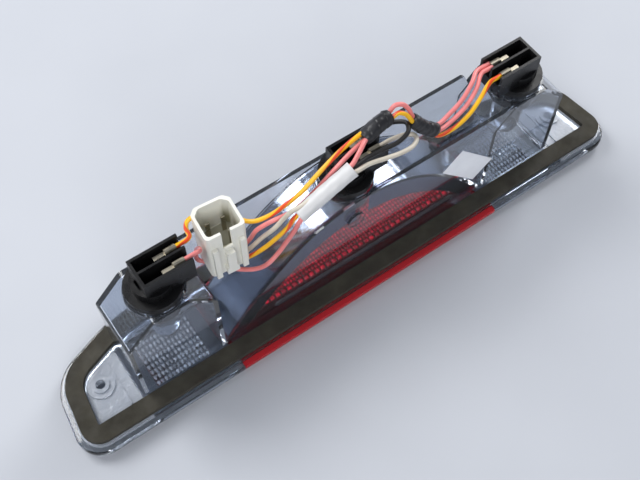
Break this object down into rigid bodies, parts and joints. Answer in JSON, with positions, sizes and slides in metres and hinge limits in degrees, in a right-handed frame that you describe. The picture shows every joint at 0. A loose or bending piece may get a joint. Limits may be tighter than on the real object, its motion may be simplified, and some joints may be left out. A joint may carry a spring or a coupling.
{
  "type": "third brake light",
  "caption": "High-mounted third brake light with a red stop lens between clear cargo-lamp lenses, twist-lock bulb sockets and a taped wiring harness with connector.",
  "frame": {"origin": "on the lens face that the lamp lies on, under the middle of the lens", "axes": "+X along the lamp, +Y towards its chamfered long edge (the upper edge on the vehicle), +Z from the lens face towards the sockets"},
  "size_m": [0.3592, 0.068, 0.1138],
  "materials": {
    "clear": "clear moulded plastic",
    "red": "transparent red plastic with moulded optics",
    "foam": "dark closed-cell foam strip",
    "mirror": "vacuum-metallised plastic",
    "paper": "matt blank paper label",
    "socket": "black glass-filled plastic",
    "gasket": "matt black rubber",
    "glass": "clear bulb glass",
    "tin": "tin-plated brass",
    "nylon": "natural nylon",
    "sleeve": "white plastic sleeve",
    "tape": "black harness tape",
    "amber": "yellow insulation with a red-orange tracer",
    "pink": "pink insulation",
    "white": "off-white insulation",
    "dark": "black insulation"
  },
  "bodies": {
    "lamp": {"lens_stop_red": "red", "lens_cargo_left": "clear", "lens_cargo_right": "clear", "housing_clear": "clear", "foam_seal": "foam", "stop_reflector": "mirror", "paper_label": "paper", "connector_housing": "nylon", "connector_pin_1": "tin", "connector_pin_2": "tin", "connector_pin_3": "tin", "wire_left_amber": "amber", "wire_left_pink": "pink", "wire_feed_pink": "pink", "wire_feed_orange": "amber", "wire_feed_white": "white", "wire_sleeve_pink": "pink", "wire_centre_white": "white", "wire_centre_black": "dark", "wire_arc_pink": "pink", "wire_arc_amber": "amber", "wire_right_pink_1": "pink", "wire_right_pink_2": "pink", "wire_right_amber": "amber", "harness_sleeve": "sleeve", "tape_wrap_1": "tape", "tape_wrap_2": "tape"},
    "socket_left": {"socket_left": "socket", "socket_seal_left": "gasket", "bulb_left": "glass", "terminal_left_near": "tin", "terminal_left_far": "tin", "tail_left_amber": "amber", "tail_left_pink": "pink"},
    "socket_centre": {"socket_centre": "socket", "socket_seal_centre": "gasket", "bulb_centre": "glass", "terminal_centre_near": "tin", "terminal_centre_far": "tin", "tail_centre_white": "white", "tail_centre_black": "dark"},
    "socket_right": {"socket_right": "socket", "socket_seal_right": "gasket", "bulb_right": "glass", "terminal_right_near": "tin", "terminal_right_far": "tin", "tail_right_pink_1": "pink", "tail_right_pink_2": "pink", "tail_right_amber": "amber"}
  },
  "joints": [
    {"name": "twist_left", "type": "hinge", "parent": "lamp", "child": "socket_left", "pos_m": [-0.112, -0.002, 0.078], "axis": [0, 0, 1], "range_deg": [0, 30]},
    {"name": "twist_centre", "type": "hinge", "parent": "lamp", "child": "socket_centre", "pos_m": [0, -0.002, 0.078], "axis": [0, 0, 1], "range_deg": [0, 30]},
    {"name": "twist_right", "type": "hinge", "parent": "lamp", "child": "socket_right", "pos_m": [0.112, -0.002, 0.078], "axis": [0, 0, 1], "range_deg": [0, 30]}
  ]
}
